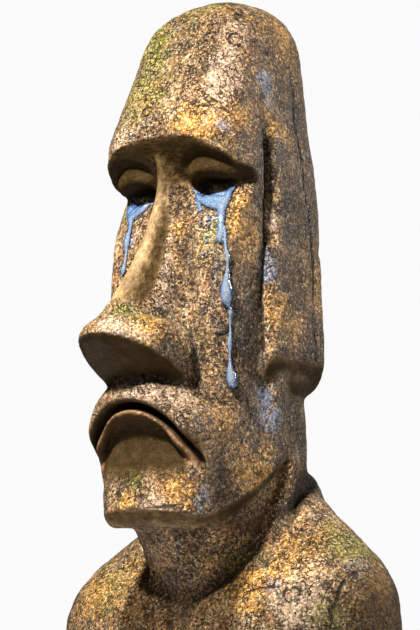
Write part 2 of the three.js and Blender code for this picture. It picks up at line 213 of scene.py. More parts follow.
def head_form(s, y, z):
    width = curve(
        z, (300, 198), (560, 215), (900, 233), (1200, 240), (1430, 248), (1600, 234), (1770, 209),
        (1900, 188),
    )
    front = curve(
        z, (300, -100), (900, -160), (1200, -172), (1400, -186), (1480, -182), (1600, -140),
        (1750, -84), (1900, -30),
    )
    back = curve(z, (300, 325), (900, 335), (1400, 340), (1700, 338), (1900, 324))
    power = curve(z, (300, 3.2), (900, 4.0), (1250, 4.4), (1420, 3.8), (1600, 3.3), (1900, 3.0))
    side = plan(s, y, width, front, back, power)
    rise = np.maximum(z - CROWN_START, 0) / (CROWN_TOP - CROWN_START)
    depth = ((side ** 3.4 + rise ** 2.6) ** (1 / 3.0) - 1) * 190
    ear = EAR_RELIEF * ease(1600, 1180, z) * ease(40, 84, y) * ease(0.72, 0.92, s / width)
    groove = limb(s, y, z, (254, 34, 1600), (260, 52, 1185), 8, 18)
    return smax(depth - ear, -groove, 24)


def face_y(s, z):
    """How far back the face lies under the brow."""
    middle = curve(z, (300, -105), (700, -135), (1000, -144), (1200, -124), (1300, -88), (1410, -68))
    bow = curve(z, (300, 20), (1000, 26), (1200, 38), (1300, 50), (1380, 80))
    return middle + bow * (s / FACE_HALF_WIDTH) ** 3


def soffit(s, y, z):
    """Negative in the open air under the brow's sloping underside."""
    outward = np.minimum(s / FACE_HALF_WIDTH, 1.1)
    edge = BROW_Z - 26 * outward ** 2.5
    slope = 1.12 - 0.62 * outward ** 3.5
    return (z - edge + slope * (y - BROW_Y)) / np.sqrt(1 + slope * slope)


def add_eye(d, s, y, z):
    """The closed upper lid, the opening under it and the ball at the back of the opening."""
    d = smin(d, ellipsoid(s, y, z, (146, -46, 1384), (100, 62, 36)), 24)
    lid = LID_Z + 46 * (np.maximum(205 - s, 0) / 155) ** 2.4
    opening = smax(ellipsoid(s, y, z, (EYE_X, -80, EYE_Z), (78, 52, 36)), z - lid, 5)
    d = smax(d, -opening, 7)
    return smin(d, ellipsoid(s, y, z, (EYE_X, 14, EYE_Z), (100, 68, 60)), 6)


def nose_half_width(z):
    return curve(z, (820, 142), (1000, 118), (1205, 86), (1320, 56), (1390, 50), (1470, 60))


def add_nose(d, s, y, z):
    """The long ridge, the flared and undercut foot and the nostrils."""
    ridge = curve(
        z, (820, -424), (880, -420), (940, -384), (993, -338), (1055, -288), (1120, -242), (1180, -210),
        (1280, -164), (1345, -150), (1475, -150),
    )
    half = nose_half_width(z)
    t = np.clip(s / half, 0, 1.6)
    keen = curve(z, (820, 0.5), (1200, 0.42), (1340, 0.6), (1475, 0.8))
    crest = 1 / (1 + (t / keen) ** 3.4)
    profile = 0.66 * crest + 0.34 * ease(0, 1, 1 - t)
    front = lerp(face_y(s, z) + 30, ridge, np.clip(profile, 0, 1))
    fold = ease(930, 1010, z) * ease(1330, 1240, z)
    front = front + fold * (12 * bell(t, 0.35, 0.08) - 9 * bell(t, 0.52, 0.08))
    foot = (NOSE_FOOT_Z + 0.61 * (NOSE_FOOT_Y - y) + 10 * (s / 110) ** 2 - z) * 0.78
    nose = smax((front - y) * 0.62, s - half * 1.05, 30)
    nose = smax(nose, foot, 18)
    nose = smax(nose, z - 1478, 20)
    d = smin(d, smax(nose, y - 40, 5), 22)
    wing = ellipsoid(s, y, z, (88, -212, 832), (62, 122, 108))
    tip = ellipsoid(s, y, z, (0, -292, 868), (118, 138, 92))
    d = smin(d, smax(smin(wing, tip, 50), foot, 18), 18)
    nostril = limb(s, y, z, (46, -250, 782), (110, -203, 762), 18, 12)
    return smax(d, -nostril, 12)


def add_muzzle(d, s, y, z):
    width = curve(z, (350, 176), (450, 186), (560, 198), (680, 190), (740, 148), (800, 124))
    front = curve(
        z, (350, -222), (420, -246), (500, -240), (600, -222), (670, -244), (735, -274), (790, -250),
        (850, -180),
    )
    muzzle = (plan(s, y, width, front, 60, 3.0) - 1) * 165
    return smin(d, smax(muzzle, z - 758, 26), 40)


def add_lips(d, s, y, z):
    """Two rolls either side of a round arch, thinner and deeper set towards the corners of the mouth."""
    rho = np.sqrt(s * s + (z - MOUTH_Z) ** 2) - MOUTH_RADIUS
    turn = np.arctan2(s, z - MOUTH_Z) / (np.pi / 2)
    off = (plan(s, y, 203, MUZZLE_Y - 166, MUZZLE_Y + 166, 2.8) - 1) * 170
    off = np.where(y > MUZZLE_Y, off + (y - MUZZLE_Y), off)
    thin = 1 - 0.6 * ease(0.55, 1.0, turn)
    sink = 30 * ease(0.6, 1.04, turn)
    past = np.maximum(turn - 0.96, 0) * 200 + np.maximum(y + 168, 0) * 0.7
    upper = np.sqrt((rho - UPPER_LIP * thin) ** 2 * 0.75 + (off + 6 + sink) ** 2)
    upper = upper - UPPER_LIP * thin + 0.5 * past
    lower = np.sqrt((rho + 19 * thin) ** 2 + (off + 12 + sink * 0.6) ** 2)
    lower = lower - LOWER_LIP * thin + 0.5 * past
    d = smin(smin(d, upper, 40), lower, 14)
    gap = np.sqrt(rho ** 2 + (off * 0.3) ** 2) - 10 * (0.3 + 0.7 * thin) + past
    d = smax(d, -gap, 8)
    return smax(d, -ellipsoid(s, y, z, (40, -292, 592), (114, 60, 64)), 40)


def cut_jaw(d, y, z):
    under = curve(y, (-270, 414), (-230, 388), (-170, 370), (-120, 382), (-63, 416), (23, 480), (147, 584))
    d = smax(d, (under - z) * 0.8, 24)
    return smax(d, -smax(140 - y, z - 770, 30), 36)


def add_ear_lobe(d, s, y, z):
    lobe = block(s + 0.055 * (z - 850), y, z, (224, 164, 970), (46, 140, 216), 42)
    lobe = smax(lobe, (s - 225) * 0.84 - (z - 775) * 0.54, 26)
    return smin(d, lobe, 14)


def neck_and_shoulders(x, s, y, z):
    """The neck with its cords, the throat's fold on one side, and the shoulders round a notch."""
    neck_w = curve(z, (102, 40), (174, 86), (258, 136), (301, 156), (400, 200), (560, 224), (900, 222))
    neck_f = curve(z, (102, 6), (174, -34), (258, -75), (338, -130), (400, -154), (460, -140), (700, -60))
    neck_b = curve(z, (0, 330), (300, 352), (560, 374), (740, 350), (900, 328))
    neck = smax((plan(s, y, neck_w, neck_f, neck_b, 2.5) - 1) * 150, z - 1000, 40)
    half = curve(
        z, (0, 562), (50, 566), (170, 552), (250, 508), (320, 430), (365, 372), (415, 302), (465, 255),
        (560, 222),
    )
    chest = curve(
        z, (0, -86), (90, -84), (180, -52), (250, 2), (320, 62), (365, 92), (415, 120), (480, 135),
    )
    back = curve(z, (0, 400), (160, 393), (310, 378), (480, 360))
    torso = smax((plan(s, y, half, chest, back, 2.6) - 1) * 170, z - 560, 40)
    away = np.sqrt(s * s + np.maximum(y, 0) ** 2 + 400)
    notch = z - THROAT_Z - THROAT_SLOPE * away + 0.15 * np.minimum(y, 0)
    body = smin(neck, smax(torso, notch * 0.64, 40), 48)
    upper_cord = limb(s, y, z, (206, 176, 560), (186, 122, 356), 34, 30)
    lower_cord = limb(s, y, z, (186, 122, 356), (146, 74, 240), 30, 18)
    body = smin(body, smin(upper_cord, lower_cord, 6), 24)
    throat_fold = limb(x, y, z, (-186, 6, 374), (-84, -4, 150), 26, 16)
    return smin(body, throat_fold, 30)


def stone_form(x, y, z):
    """Negative inside the stone, and close to the distance from its surface outside it."""
    s = np.abs(x)
    d = head_form(s, y, z)
    d = smax(d, -smax(y - face_y(s, z), soffit(s, y, z), 20), 10)
    d = add_eye(d, s, y, z)
    d = add_nose(d, s, y, z)
    d = add_muzzle(d, s, y, z)
    d = add_lips(d, s, y, z)
    d = cut_jaw(d, y, z)
    d = add_ear_lobe(d, s, y, z)
    d = smin(d, neck_and_shoulders(x, s, y, z), 26)
    return smax(d, -z, 1)


# ---------------------------------------------------------------- from a form to a mesh

CORNERS = [(i, j, k) for i in (0, 1) for j in (0, 1) for k in (0, 1)]


def gradient(form, p, step):
    out = np.empty_like(p)
    for axis in range(3):
        shift = np.zeros(3)
        shift[axis] = step
        out[:, axis] = (form(*(p + shift).T) - form(*(p - shift).T)) / (2 * step)
    return out


def steps(*bands):
    """Grid lines over bands of (from, to, spacing)."""
    lines = [np.linspace(a, b, max(2, round((b - a) / gap) + 1))[:-1] for a, b, gap in bands]
    return np.concatenate(lines + [[bands[-1][1]]])


def values_near_surface(form, xs, ys, zs, coarse=4):
    """The form on the grid's points near its surface, and nan elsewhere."""
    shape = (len(xs), len(ys), len(zs))
    picks = [np.unique(np.append(np.arange(0, n, coarse), n - 1)) for n in shape]
    cx, cy, cz = np.meshgrid(xs[picks[0]], ys[picks[1]], zs[picks[2]], indexing="ij")
    far = np.abs(form(cx.ravel(), cy.ravel(), cz.ravel())).reshape(cx.shape)
    near = np.zeros(shape, bool)
    cell = np.minimum.reduce([
        far[i:far.shape[0] - 1 + i, j:far.shape[1] - 1 + j, k:far.shape[2] - 1 + k] for i, j, k in CORNERS
    ])
    size = np.sqrt(
        np.diff(xs[picks[0]])[:, None, None] ** 2
        + np.diff(ys[picks[1]])[None, :, None] ** 2
        + np.diff(zs[picks[2]])[None, None, :] ** 2
    )
    margin = 1.15
    for i, j, k in np.argwhere(cell < size * margin):
        near[
            picks[0][i]:picks[0][i + 1] + 1,
            picks[1][j]:picks[1][j + 1] + 1,
            picks[2][k]:picks[2][k + 1] + 1,
        ] = True
    values = np.full(shape, np.nan)
    i, j, k = np.nonzero(near)
    values[near] = form(xs[i], ys[j], zs[k])
    return values


def surface_net(form, xs, ys, zs, settle=3):
    """Vertices on the surface of the form and the faces between them, on a grid of those lines."""
    values = values_near_surface(form, xs, ys, zs)
    inside = values < 0
    known = ~np.isnan(values)
    cells = tuple(n - 1 for n in values.shape)

    def corner(grid, c):
        return grid[c[0]:cells[0] + c[0], c[1]:cells[1] + c[1], c[2]:cells[2] + c[2]]

    count = sum(corner(inside, c).astype(np.int8) for c in CORNERS)
    complete = np.logical_and.reduce([corner(known, c) for c in CORNERS])
    mixed = complete & (count > 0) & (count < 8)
    index = np.full(cells, -1, np.int64)
    where = np.argwhere(mixed)
    index[mixed] = np.arange(len(where))
    total = np.zeros((len(where), 3))
    hits = np.zeros(len(where))
    for a in CORNERS:
        for axis in range(3):
            if a[axis]:
                continue
            b = tuple(v + (n == axis) for n, v in enumerate(a))
            va = corner(values, a)[mixed]
            vb = corner(values, b)[mixed]
            cross = (va < 0) != (vb < 0)
            t = np.where(cross, va / np.where(cross, va - vb, 1), 0)
            point = where + np.array(a, float)
            point[:, axis] += t
            total += np.where(cross[:, None], point, 0)
            hits += cross
    grid_at = total / hits[:, None]
    along = [np.interp(grid_at[:, n], np.arange(len(line)), line) for n, line in enumerate((xs, ys, zs))]
    points = np.stack(along, 1)
    faces = []
    for axis in range(3):
        u, v = [n for n in range(3) if n != axis]
        low = [slice(1, n - 1) for n in values.shape]
        low[axis] = slice(0, values.shape[axis] - 1)
        high = list(low)
        high[axis] = slice(1, values.shape[axis])
        first, second = inside[tuple(low)], inside[tuple(high)]
        both = known[tuple(low)] & known[tuple(high)]
        at = np.argwhere((first != second) & both)
        flip = second[tuple(at.T)]
        for n in range(3):
            if n != axis:
                at[:, n] += 1
        ring = []
        for du, dv in ((0, 0), (1, 0), (1, 1), (0, 1)):
            c = at.copy()
            c[:, u] -= 1 - du
            c[:, v] -= 1 - dv
            ring.append(index[tuple(c.T)])
        quad = np.stack(ring, 1)
        turned = flip != (axis == 1)
        quad[turned] = quad[turned][:, ::-1]
        faces.append(quad[(quad >= 0).all(1)])
    for _ in range(settle):
        slope = gradient(form, points, 1.0)
        points -= slope * (form(*points.T) / ((slope ** 2).sum(1) + 0.05))[:, None]
    return points, np.concatenate(faces)


# ---------------------------------------------------------------- relief and stains, in millimetres

AROUND = [(i, j, k) for i in (-1, 0, 1) for j in (-1, 0, 1) for k in (-1, 0, 1)]
# How much of the weathering the dressed surfaces are spared.
SPARED = 0.85
# Waves as (depth, length, seed) and pits as (depth, size of their cells, share of cells with one, seed).
WAVES = ((1.8, 95, 41), (1.5, 40, 42), (1.1, 17, 43))
PITS = ((4.2, 48, 0.28, 51), (2.8, 23, 0.4, 61))
CREASE_DEPTH = 3.6
CRACK_DEPTH, CRACK_WIDTH = 5.0, 8
WORN_AWAY = 0.6


def hashed(cell, seed):
    """A repeatable number from 0 to 1 for each cell of a lattice; the factors only scatter the bits."""
    i, j, k = cell.T
    h = (i * 374761393 + j * 668265263 + k * 1103515245 + seed * 144665) & 0xFFFFFFFF
    h = ((h ^ (h >> 13)) * 1274126177) & 0xFFFFFFFF
    h = ((h ^ (h >> 15)) * 2246822519) & 0xFFFFFFFF
    return ((h ^ (h >> 16)) & 0xFFFFFF) / 0xFFFFFF


def rough(points, size, seed):
    """Smooth noise from -1 to 1 with lumps of that size."""
    scaled = points / size
    cell = np.floor(scaled).astype(np.int64)
    f = scaled - cell
    f = f * f * (3 - 2 * f)
    total = np.zeros(len(points))
    for corner in CORNERS:
        weight = np.prod(np.where(np.array(corner) == 1, f, 1 - f), axis=1)
        total += weight * hashed(cell + corner, seed)
    return total * 2 - 1


def scattered_pits(points, size, share, seed):
    """Depth from 0 to 1 of round pits, at most one in each cell of that size."""
    scaled = points / size
    cell = np.floor(scaled).astype(np.int64)
    depth = np.zeros(len(points))
    for offset in AROUND:
        near = cell + offset
        centre = near + np.stack([0.2 + 0.6 * hashed(near, seed + n) for n in range(3)], 1)
        radius = 0.2 + 0.3 * hashed(near, seed + 3) ** 2
        gap = np.linalg.norm(scaled - centre, axis=1) / radius
        bowl = np.clip(1 - gap * gap, 0, 1) * (hashed(near, seed + 4) < share)
        depth = np.maximum(depth, bowl)
    return depth


def along_surface(gap, normals):
    """The length of gap along the surface; its height off the surface counts only past PATH_LIFT."""
    lift = (gap * normals).sum(1)
    flat = np.linalg.norm(gap - normals * lift[:, None], axis=1)
    return flat + np.maximum(np.abs(lift) - PATH_LIFT, 0)


def distance_to_path(points, normals, path):
    """The distance from a path of straight stretches, measured along the surface."""
    path = np.array(path, float)
    nearest = np.full(len(points), 1e6)
    for a, b in zip(path[:-1], path[1:]):
        t = np.clip((points - a) @ (b - a) / ((b - a) @ (b - a)), 0, 1)
        nearest = np.minimum(nearest, along_surface(points - a - t[:, None] * (b - a), normals))
    return nearest


# How far off the surface the points of a path may lie.
PATH_LIFT = 30
# Cracks on one side only, as (width against the finest, path).
CRACKS = [
    (1.4, [(500, 120, 262), (486, 98, 243), (478, 62, 214), (486, 28, 172), (480, 8, 140), (484, 2, 112)]),
    (1.0, [(300, -16, 214), (262, -22, 206), (226, -34, 196)]),
    (1.0, [(128, -158, 1560), (150, -152, 1556), (170, -140, 1552), (184, -122, 1556)]),
    (1.2, [(40, -246, 418), (88, -240, 420), (120, -232, 424), (150, -216, 426)]),
    (1.0, [(212, -96, 905), (204, -110, 898), (196, -122, 893)]),
]
# The creases down the back edge of the head and in front of the ear, the same on both sides.
CREASES_BOTH_SIDES = [
    (1.7, [
        (223, 185, 1720), (226, 186, 1640), (240, 178, 1560), (243, 184, 1500), (250, 192, 1430),
        (255, 203, 1350),
    ]),
    (1.5, [
        (255, 203, 1350), (252, 226, 1260), (250, 240, 1180), (256, 236, 1090), (263, 230, 980),
        (265, 232, 850),
    ]),
    (1.3, [
        (243, 30, 1500), (246, 36, 1350), (244, 38, 1200), (241, 26, 1100), (238, 22, 1007),
        (232, 34, 900), (226, 50, 790),
    ]),
]
# Ring-shaped dents: the middle of each and its radius.
RINGS = [((182, -22, 1764), 21), ((367, -14, 188), 24), ((-40, -152, 1560), 17), ((120, 338, 1240), 24)]

# Patches of growth and stain, and among the pale ones some painted light: the middle of each, its reach and
# its strength.
OCHRE = [
    ((168, -160, 1500), 60, 0.7), ((120, -165, 1530), 46, 0.6), ((198, 200, 1800), 60, 0.8),
    ((238, -48, 1210), 46, 1.3), ((226, -55, 1278), 34, 1.1), ((237, -34, 1130), 46, 1.0),
    ((155, -207, 455), 44, 0.9), ((120, -232, 478), 36, 0.7), ((-29, -246, 436), 40, 1.1),
    ((235, 34, 1570), 22, 1.3), ((245, 67, 1516), 24, 1.3), ((247, 120, 1500), 26, 1.2),
    ((63, -124, 1211), 26, 0.9),
    ((266, 110, 950), 56, 1.0), ((264, 60, 1010), 36, 0.8), ((259, 251, 1058), 60, 0.8),
    ((546, 172, 197), 90, 1.1), ((240, -32, 200), 70, 1.1), ((330, 30, 300), 80, 1.1),
    ((-35, -143, 1594), 60, 0.5), ((221, 15, 532), 50, 1.1), ((110, -310, 905), 44, 1.1),
    ((216, -40, 1500), 40, 0.7), ((200, -100, 640), 46, 0.8), ((-330, -20, 190), 110, 0.9),
]
MOSS = [
    ((-85, -87, 1732), 70, 0.8), ((-87, -137, 1603), 66, 0.9), ((-97, -53, 1808), 60, 0.6),
    ((40, -327, 954), 44, 1.2), ((70, -320, 925), 36, 0.9), ((1, -239, 508), 30, 1.5),
    ((224, 42, 543), 46, 1.3), ((210, -20, 500), 36, 1.0), ((148, 16, 303), 56, 1.2),
    ((430, 190, 330), 80, 1.3), ((-313, -20, 199), 80, 1.0), ((200, 250, 1860), 70, 0.7),
    ((60, 20, 1905), 90, 0.8), ((-240, 60, 1350), 110, 0.8), ((160, -100, 1180), 34, 0.8),
    ((470, 10, 120), 46, 1.0),
]
BLEACH_AND_PAINTED_LIGHT = [
    ((181, -7, 1800), 40, 1.1), ((184, -50, 1720), 42, 1.2), ((182, -80, 1650), 40, 1.2),
    ((181, -106, 1595), 40, 1.3), ((175, -152, 1507), 30, 1.2), ((120, -150, 1545), 44, 0.8),
    ((241, 61, 1254), 20, 1.5), ((241, 61, 1225), 18, 1.5), ((149, -116, 1196), 34, 0.8),
    ((412, -11, 160), 70, 1.2), ((347, -14, 196), 50, 1.2), ((380, 60, 262), 70, 0.8),
    # Painted light on the upper lip's crest: these three patches and the first on the next line.
    ((177, -213, 731), 34, 0.9), ((60, -262, 715), 46, 1.0), ((120, -240, 705), 40, 0.9),
    ((0, -272, 725), 46, 0.9), ((66, -383, 916), 42, 1.5), ((110, -330, 900), 40, 1.0),
    ((61, -244, 420), 28, 1.2), ((110, -238, 424), 26, 1.1), ((225, -20, 1240), 30, 0.9),
    ((-120, -160, 1500), 44, 1.0), ((120, -190, 1010), 60, 0.5),
    # Painted highlight: the small patches down the nose's flank, on this line and the next.
    ((36, -144, 1230), 12, 1.3), ((41, -155, 1180), 13, 1.5), ((47, -166, 1130), 13, 1.6),
    ((52, -180, 1085), 14, 1.6), ((56, -195, 1040), 14, 1.5), ((62, -211, 990), 14, 1.3),
    ((114, -191, 940), 22, 0.9), ((137, -158, 885), 22, 0.9),
]
SLATE = [
    ((228, 52, 1660), 24, 1.4), ((232, 56, 1620), 22, 1.5), ((238, 58, 1575), 20, 1.4),
    ((215, -121, 1489), 26, 1.2), ((246, 36, 1115), 30, 1.3), ((246, 40, 1080), 22, 1.1),
    ((232, 60, 670), 50, 1.2), ((236, 30, 740), 36, 0.9), ((180, -165, 445), 26, 1.3),
    ((292, -11, 216), 34, 1.3), ((488, 138, 264), 40, 1.3), ((160, -108, 1225), 22, 1.2),
    ((186, -96, 1090), 24, 1.0), ((-150, -120, 1200), 30, 0.9),
]


def patches(points, places, wobble):
    """How strongly the patches at those places cover each point, with ragged outlines."""
    total = np.zeros(len(points))
    for centre, reach, strength in places:
        gap = np.linalg.norm(points - centre, axis=1) / (1.25 * reach) + 0.5 * wobble
        total = total + strength * np.exp(-np.clip(gap, 0, None) ** 2)
    return total


def enclosed(points, normals):
    """From 0 in the open to 1 deep in a hollow, from how little room there is straight out."""
    near, middle, far = (stone_form(*(points + normals * reach).T) / reach for reach in (14, 34, 70))
    return np.clip(1 - (0.35 * near + 0.35 * middle + 0.3 * far), 0, 1)


def weathering(points, normals):
    """What weather and the carver left at each point, and where shade and light are painted in: {name:
    value, mostly from 0 to 1}.
    """
    x, y, z = points.T
    s = np.abs(x)
    nz = normals[:, 2]
    wobble = 0.6 * rough(points, 46, 11) + 0.4 * rough(points, 19, 12)
    wide = rough(points, 170, 21) + 0.6 * rough(points, 70, 22)
    hollow = enclosed(points, normals)

    rho = np.sqrt(s * s + (z - MOUTH_Z) ** 2) - MOUTH_RADIUS
    lips = ease(20, 8, rho) * ease(-40, -28, rho) * ease(-90, -150, y) * ease(520, 545, z)
    below_lip = ease(-14, -40, rho) * ease(-150, -200, y) * ease(462, 560, z)
    under = ease(-0.12, -0.42, nz) * ease(340, 420, z)
    lids = ease(1335, 1350, z) * ease(1425, 1400, z) * ease(250, 225, s) * ease(0, -30, y)
    flank = s / nose_half_width(z)
    on_nose = ease(-110, -140, y) * ease(960, 1010, z)
    bridge = 0.9 * ease(0.5, 0.3, flank) * on_nose * ease(1480, 1440, z)
    dressed = np.clip(np.maximum.reduce([under, lips, lids, bridge, below_lip * 0.8]), 0, 1)
    open_stone = 1 - SPARED * dressed

    nose_fold = 0.85 * bell(flank, 0.34, 0.09) + 0.4 * ease(0.60, 0.72, flank) * ease(1.3, 1.1, flank)
    nose_fold = nose_fold * on_nose * ease(1290, 1230, z)
    brow_root = 0.8 * ease(1290, 1360, z) * ease(1480, 1440, z) * ease(120, 80, s) * ease(-60, -90, y)
    up_the_notch = (z - THROAT_Z) / (THROAT_SLOPE * np.hypot(s, 20))
    throat = 0.8 * ease(430, 380, z) * ease(235, 190, s) * ease(1.5, 0.6, up_the_notch)
    # Painted shade: darker under overhangs, below the lip, on the lids, deep in hollows, at the throat, in
    # the nose's folds and at the brow's root.
    shaded_places = [under, 1.1 * below_lip, 0.4 * lids, 0.9 * hollow ** 1.5, throat, nose_fold, brow_root]
    painted_shade = np.clip(np.maximum.reduce(shaded_places), 0, 1)

    # Painted shade on the faces that turn sideways, which the lights reach less.
    sideways = ease(0.55, 0.92, np.abs(normals[:, 0]))
    painted_side_shade = sideways * ease(300, 420, z) * ease(-150, -60, y) * (0.8 + 0.3 * wide)
    return {
        "ochre": (patches(points, OCHRE, wobble) + 0.34 + 0.4 * wide + 0.15 * painted_side_shade) * open_stone,
        "moss": (patches(points, MOSS, wobble) + 0.15 - 0.35 * wide + 0.3 * nz) * open_stone,
        "bleach_and_painted_light": patches(points, BLEACH_AND_PAINTED_LIGHT, wobble) * open_stone,
        "slate": patches(points, SLATE, wobble) * open_stone,
        "dressed": dressed,
        "painted_shade": painted_shade,
        "painted_side_shade": painted_side_shade,
        "hollow": hollow,
        "lips": lips,
    }


def crack_distance(points, normals):
    """The distance from the nearest crack, crease or ring, each against its own width."""
    shift = 2.6 * rough(points, 21, 31) + 1.6 * rough(points, 9, 32)
    mirror = np.where(points[:, :1] < 0, -1.0, 1.0) * [1, 0, 0] + [0, 1, 1]
    one = [distance_to_path(points, normals, path) / width for width, path in CRACKS]
    both = [
        distance_to_path(points * mirror, normals * mirror, path) / width
        for width, path in CREASES_BOTH_SIDES
    ]
    rings = [np.abs(along_surface(points - centre, normals) - radius) for centre, radius in RINGS]
    return np.abs(np.minimum.reduce(one + both + rings) + shift)


def lid_fold(points):
    """The fold between brow and upper lid, with the lid swelling below it."""
    s, y, z = np.abs(points[:, 0]), points[:, 1], points[:, 2]
    up = z - (1412 - 40 * ((s - 135) / 90) ** 2)
    band = ease(52, 84, s) * ease(242, 216, s) * ease(-40, -70, y)
    return band * (9 * bell(up, 0, 11) - 6 * bell(up, -34, 16))


def relief(points, marks, cracks):
    """How far the weathered surface lies under the carved form."""
    rest = 1 - SPARED * marks["dressed"]
    waves = sum(depth * rough(points, length, seed) for depth, length, seed in WAVES)
    crease = (1 - np.abs(rough(points, 52, 44) + 0.4 * rough(points, 20, 45))) ** 9
    crease = CREASE_DEPTH * crease * ease(-0.1, 0.35, rough(points, 150, 46))
    pits = sum(depth * scattered_pits(points, size, share, seed) for depth, size, share, seed in PITS)
    slots = CRACK_DEPTH * np.clip(1 - cracks / CRACK_WIDTH, 0, 1) * (1 - marks["dressed"])
    return (waves + crease + pits) * rest + slots + lid_fold(points) + WORN_AWAY


# ---------------------------------------------------------------- build the stone

# Spacing of the grid lines: over the face, behind it, over the shoulders, and at the top and the foot.
FACE_GRID = 7.2
BACK_GRID = 12
SHOULDER_GRID = 14
ENDS_GRID = 11
PER_METRE = 1000


def build_mesh(name, points, faces, marks=None):
    """A piece of four-sided faces at the scene's origin, with the marks on its points."""
    mesh = bpy.data.meshes.new(name)
    mesh.vertices.add(len(points))
    mesh.vertices.foreach_set("co", points.astype(np.float32).ravel())
    mesh.loops.add(faces.size)
    mesh.loops.foreach_set("vertex_index", faces.astype(np.int32).ravel())
    mesh.polygons.add(len(faces))
    mesh.polygons.foreach_set("loop_start", np.arange(0, faces.size, 4, dtype=np.int32))
    mesh.polygons.foreach_set("loop_total", np.full(len(faces), 4, np.int32))
    mesh.polygons.foreach_set("use_smooth", np.ones(len(faces), bool))
    mesh.update(calc_edges=True)
    for mark, values in (marks or {}).items():
        layer = mesh.attributes.new(mark, "FLOAT", "POINT")
        layer.data.foreach_set("value", values.astype(np.float32))
    mesh.validate()
    piece = bpy.data.objects.new(name, mesh)
    bpy.context.scene.collection.objects.link(piece)
    return piece


def carve_stone():
    """The stone, and how far the form's middle lies from the solid's, front to back, in metres."""
    xs = steps((-588, -264, SHOULDER_GRID), (-264, 264, FACE_GRID), (264, 588, SHOULDER_GRID))
    ys = steps((-446, 40, FACE_GRID), (40, 420, BACK_GRID))
    zs = steps((-12, 330, ENDS_GRID), (330, 1500, FACE_GRID), (1500, 1944, ENDS_GRID))
    points, faces = surface_net(stone_form, xs, ys, zs)
    middle = (points[:, 1].min() + points[:, 1].max()) / 2
    slope = gradient(stone_form, points, 1.0)
    normals = slope / (np.linalg.norm(slope, axis=1)[:, None] + 1e-9)
    marks = weathering(points, normals)
    cracks = crack_distance(points, normals)
    above_ground = ease(0, 26, points[:, 2])
    points = points - normals * (relief(points, marks, cracks) * above_ground)[:, None]
    points[:, 2] = np.maximum(points[:, 2], 0)
    marks["crack"] = cracks / PER_METRE
    shift = MIDDLE_Y - middle / PER_METRE
    return build_mesh("stone", points / PER_METRE + [0, shift, 0], faces, marks), shift


# ---------------------------------------------------------------- nodes for shapes and finishes


def put(tree, value, socket):
    """Links a socket to a socket, or sets a plain value on it."""
    if isinstance(value, bpy.types.NodeSocket):
        tree.links.new(value, socket)
    else:
        socket.default_value = value


def math_node(tree, operation, *values):
    node = tree.nodes.new("ShaderNodeMath")
    node.operation = operation
    for value, socket in zip(values, node.inputs):
        put(tree, value, socket)
    return node.outputs[0]


def vector_node(tree, operation, *values):
    node = tree.nodes.new("ShaderNodeVectorMath")
    node.operation = operation
    for value, socket in zip(values, node.inputs):
        put(tree, value, socket)
    return node.outputs[0]


# ---------------------------------------------------------------- tears, in millimetres

# Beads: how far apart they are, how many of their radii off the stone, and how rounded their joins.
BEAD_SPACING, BEAD_LIFT, BEAD_JOIN = 4.0, 0.2, 3.0
TEAR_GRID, TEAR_MARGIN = 2.6, 24
CLEARANCE = 0.8
IN_FRONT = -460.0
# Trickles over the face, as points (x, z, radius) seen from the front.
LEFT_TEARS = [
    # the roll under the lower lid
    [(66, 1326, 5), (76, 1316, 6), (96, 1301, 6.5), (118, 1294, 7), (142, 1296, 8), (168, 1308, 8),
     (194, 1326, 6)],
    # the film that gathers below it
    [(72, 1318, 5), (100, 1296, 8), (132, 1280, 10), (160, 1268, 12)],
    [(88, 1306, 6), (112, 1290, 9), (140, 1282, 10)],
    [(92, 1296, 5), (104, 1276, 5), (114, 1262, 6)],
    [(150, 1296, 10), (164, 1278, 12), (180, 1256, 12)],
    [(190, 1322, 7), (188, 1296, 10), (184, 1262, 11)],
    [(120, 1294, 9), (150, 1288, 12), (176, 1284, 12), (182, 1262, 12)],
    [(140, 1294, 10), (160, 1298, 11), (182, 1306, 9)],
    # the stream off the film
    [(181, 1262, 11), (186, 1240, 11), (191, 1222, 9.5), (194, 1200, 9), (196, 1184, 11), (196, 1172, 12.5),
     (197, 1164, 9)],
    # the long thread of drops
    [(203, 1200, 6), (208, 1176, 5), (214, 1140, 4), (219, 1116, 6), (218, 1092, 4), (216, 1062, 7),
     (214, 1036, 12), (214, 1018, 16.5), (213, 998, 15), (214, 984, 8), (217, 974, 4), (218, 961, 6.5),
     (217, 948, 3.5), (216, 926, 3.2), (215, 900, 4.5), (213, 874, 7), (212, 850, 3.6), (211, 826, 4.2),
     (210, 800, 9), (210, 776, 14.5), (210, 764, 13)],
]
RIGHT_TEARS = [
    # the roll under the lower lid
    [(74, 1322, 5), (96, 1304, 6), (122, 1296, 7), (150, 1296, 8), (180, 1312, 8), (200, 1328, 5)],
    # the film that gathers below it
    [(92, 1306, 7), (122, 1288, 10), (150, 1272, 11)],
    [(130, 1294, 10), (150, 1284, 12), (157, 1266, 11)],
    [(184, 1314, 9), (174, 1290, 12), (160, 1266, 11)],
    # the short stream of drops
    [(158, 1270, 9), (152, 1250, 6.5), (147, 1226, 6), (147, 1204, 9), (147, 1192, 10), (146, 1176, 6),
     (145, 1152, 3.6), (148, 1128, 6), (149, 1116, 8), (151, 1104, 6)],
]
# The line beside the left stream that drops are thrown off along, as (x, z), and the drops in metres.
SPLASH = [(108, 1266), (132, 1240), (142, 1200), (156, 1166), (172, 1130), (182, 1090)]
DROPS = {"Spacing": 0.009, "Drop Radius": 0.0052, "Spread": 0.022, "Seed": 11}
SMALLEST_DROP = 0.35


def on_face(x, z):
    """The y of the stone's face at x and z, seen from the front."""
    y = np.full(len(x), IN_FRONT)
    for _ in range(90):
        y = y + np.maximum(stone_form(x, y, z), 0) * 0.5
    return y


